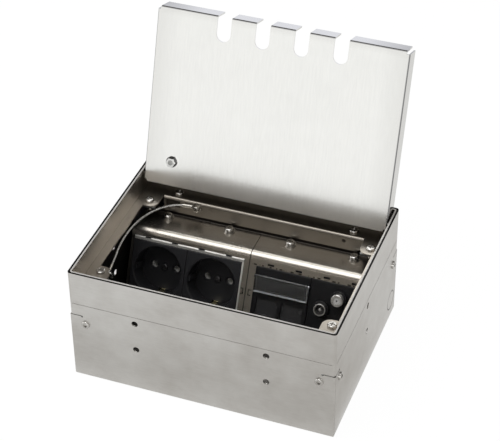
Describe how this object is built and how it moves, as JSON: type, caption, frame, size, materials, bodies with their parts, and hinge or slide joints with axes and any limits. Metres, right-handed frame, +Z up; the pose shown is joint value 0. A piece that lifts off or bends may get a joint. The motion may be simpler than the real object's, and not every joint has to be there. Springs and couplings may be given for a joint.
{
  "type": "floor socket box",
  "caption": "Stainless floor socket box with a hinged pan lid, earthed sockets, data jacks, an antenna module and a wire rope, for screed or raised floors.",
  "frame": {"origin": "centre of the flat underside of the outer housing", "axes": "+X right along the long side, +Y towards the lid hinge, +Z up"},
  "size_m": [0.2092, 0.1932, 0.2246],
  "materials": {
    "housing_steel": "mill-finish stainless sheet",
    "lid_steel": "brushed stainless sheet",
    "frame_steel": "mill-finish stainless sheet",
    "rail_steel": "mill-finish stainless sheet",
    "carrier_steel": "mill-finish stainless sheet",
    "bracket_zinc": "zinc plated",
    "screw_steel": "plated, bright",
    "socket_black": "moulded, semi-gloss",
    "base_black": "moulded",
    "contact_brass": "pale plated brass",
    "module_graphite": "moulded, satin",
    "jack_black": "moulded",
    "shutter_graphite": "moulded, glossy",
    "label_paper": "dark card",
    "window_clear": "clear moulded",
    "diecast_zinc": "die-cast",
    "connector_nickel": "nickel plated",
    "insulator_white": "moulded",
    "rope_steel": "stranded stainless wire",
    "crimp_steel": "plated"
  },
  "bodies": {
    "box": {"antenna_housing": "diecast_zinc", "antenna_plate": "module_graphite", "carrier_left": "carrier_steel", "carrier_right": "carrier_steel", "carrier_screws": "screw_steel", "carrier_washers": "screw_steel", "connector_insulators": "insulator_white", "corner_bracket_back_left": "bracket_zinc", "corner_bracket_back_right": "bracket_zinc", "corner_bracket_front_left": "bracket_zinc", "corner_bracket_front_right": "bracket_zinc", "data_frame": "module_graphite", "device_rail": "rail_steel", "earth_strap_1": "contact_brass", "earth_strap_2": "contact_brass", "hinge_pins": "screw_steel", "inner_frame": "frame_steel", "label_strip": "label_paper", "ledge_screws": "screw_steel", "outer_housing": "housing_steel", "pin_contacts": "contact_brass", "radio_connector": "connector_nickel", "rail_screws": "screw_steel", "rj45_jack_left": "jack_black", "rj45_jack_right": "jack_black", "rope_ferrule": "crimp_steel", "rope_hook": "rope_steel", "rope_lock_washer": "screw_steel", "rope_screw": "screw_steel", "rope_terminal": "crimp_steel", "sat_connector": "connector_nickel", "side_screws": "screw_steel", "socket_base_1": "base_black", "socket_base_2": "base_black", "socket_cup_1": "socket_black", "socket_cup_2": "socket_black", "socket_screws": "screw_steel", "terminal_screws": "contact_brass", "tv_connector": "connector_nickel", "wire_rope": "rope_steel"},
    "lid": {"lid_earth_nut": "screw_steel", "lid_earth_screw": "screw_steel", "lid_earth_washer": "screw_steel", "lid_pan": "lid_steel"},
    "window": {"label_window": "window_clear"},
    "left_shutter": {"shutter_left": "shutter_graphite"},
    "right_shutter": {"shutter_right": "shutter_graphite"}
  },
  "joints": [
    {"name": "lid_hinge", "type": "hinge", "parent": "box", "child": "lid", "pos_m": [0, 0.0645, 0.0912], "axis": [1, 0, 0], "range_deg": [0, 108]},
    {"name": "label_window_hinge", "type": "hinge", "parent": "box", "child": "window", "pos_m": [0.0285, 0.02104, 0.04993], "axis": [-1, 0, 0], "range_deg": [0, 95]},
    {"name": "shutter_left_slide", "type": "slide", "parent": "box", "child": "left_shutter", "axis": [0, 0.4226, 0.9063], "range_m": [0, 0.012]},
    {"name": "shutter_right_slide", "type": "slide", "parent": "box", "child": "right_shutter", "axis": [0, 0.4226, 0.9063], "range_m": [0, 0.012]}
  ]
}
